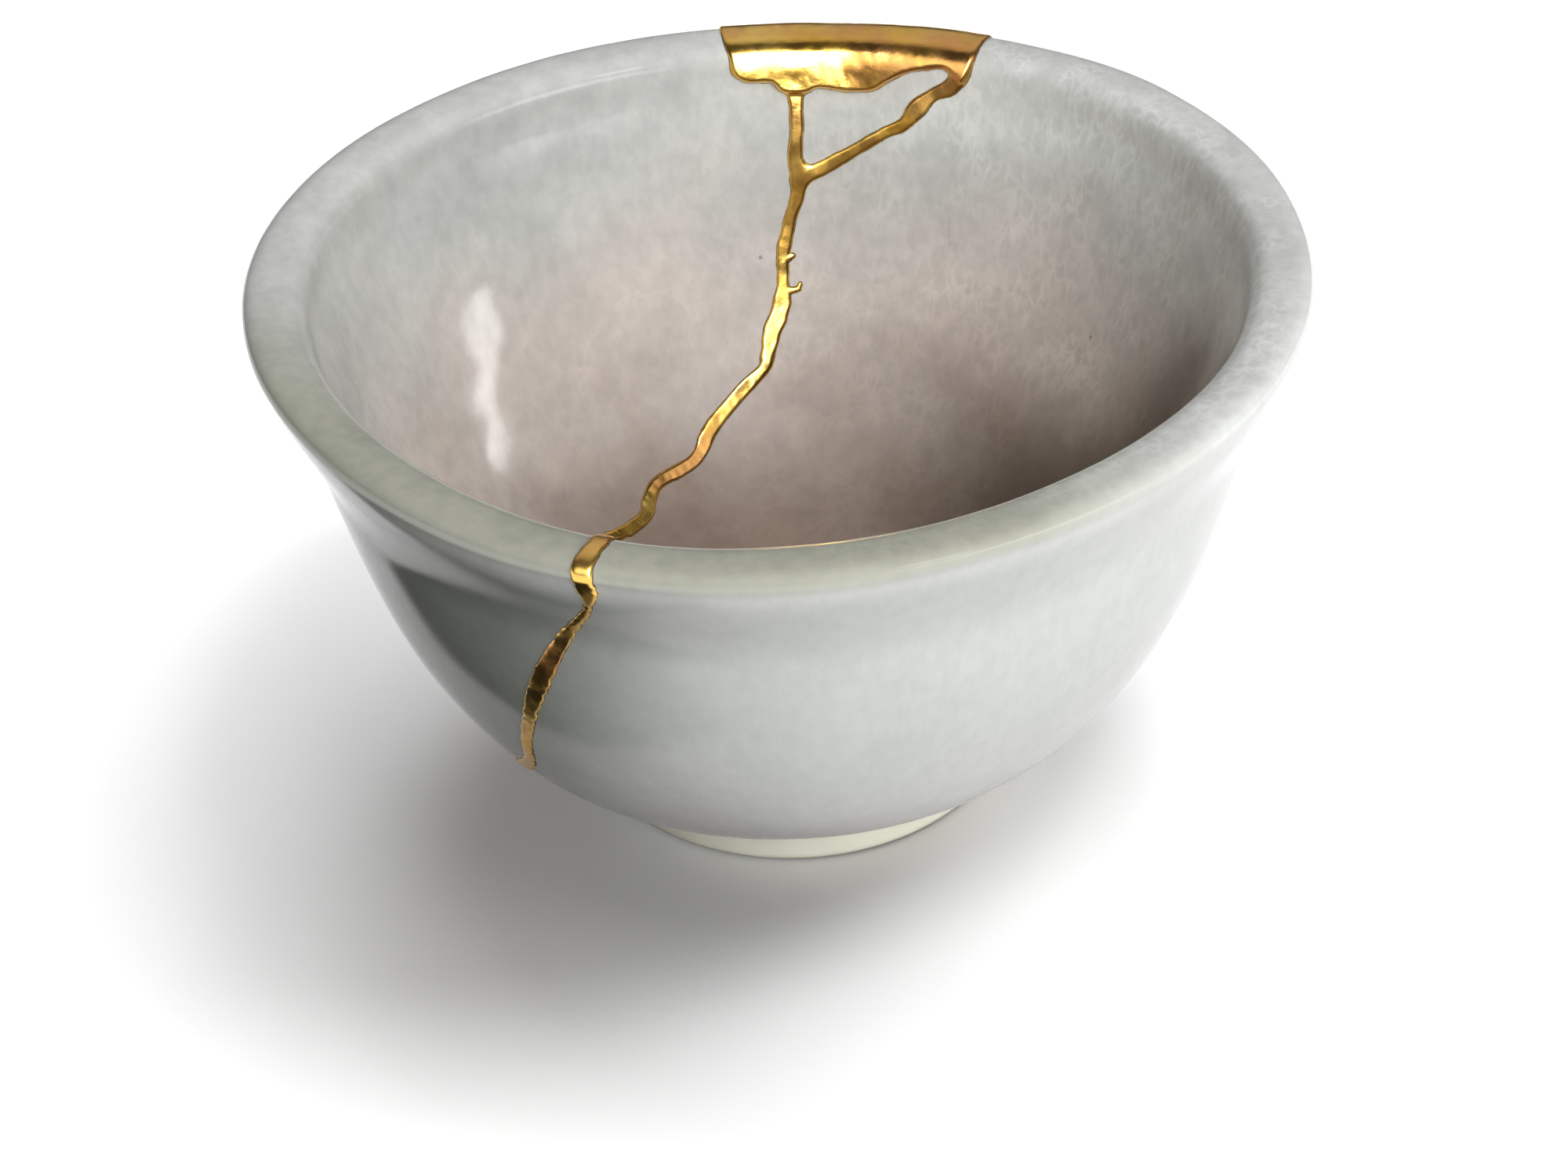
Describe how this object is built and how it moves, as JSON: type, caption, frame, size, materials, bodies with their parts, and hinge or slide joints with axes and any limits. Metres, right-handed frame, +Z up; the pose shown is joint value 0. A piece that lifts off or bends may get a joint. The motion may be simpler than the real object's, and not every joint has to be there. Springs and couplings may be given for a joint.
{
  "type": "kintsugi tea bowl",
  "caption": "Round footed tea bowl with a flared lip, rejoined from sherds with raised gold seams and a gold-filled chip in the rim.",
  "frame": {"origin": "middle of the rim's round, on the surface that the foot ring stands on", "axes": "+Z up through the open mouth; +Y towards the gold-filled chip in the rim; +X to the right of someone facing the chip across the bowl"},
  "size_m": [0.1202, 0.12, 0.0674],
  "materials": {
    "glaze": "gloss",
    "gold": "satin"
  },
  "bodies": {
    "root": {"main_sherd": "glaze", "left_sherd": "glaze", "rim_sherd": "glaze", "gold_rim_fill": "gold", "gold_seam": "gold"}
  },
  "joints": []
}
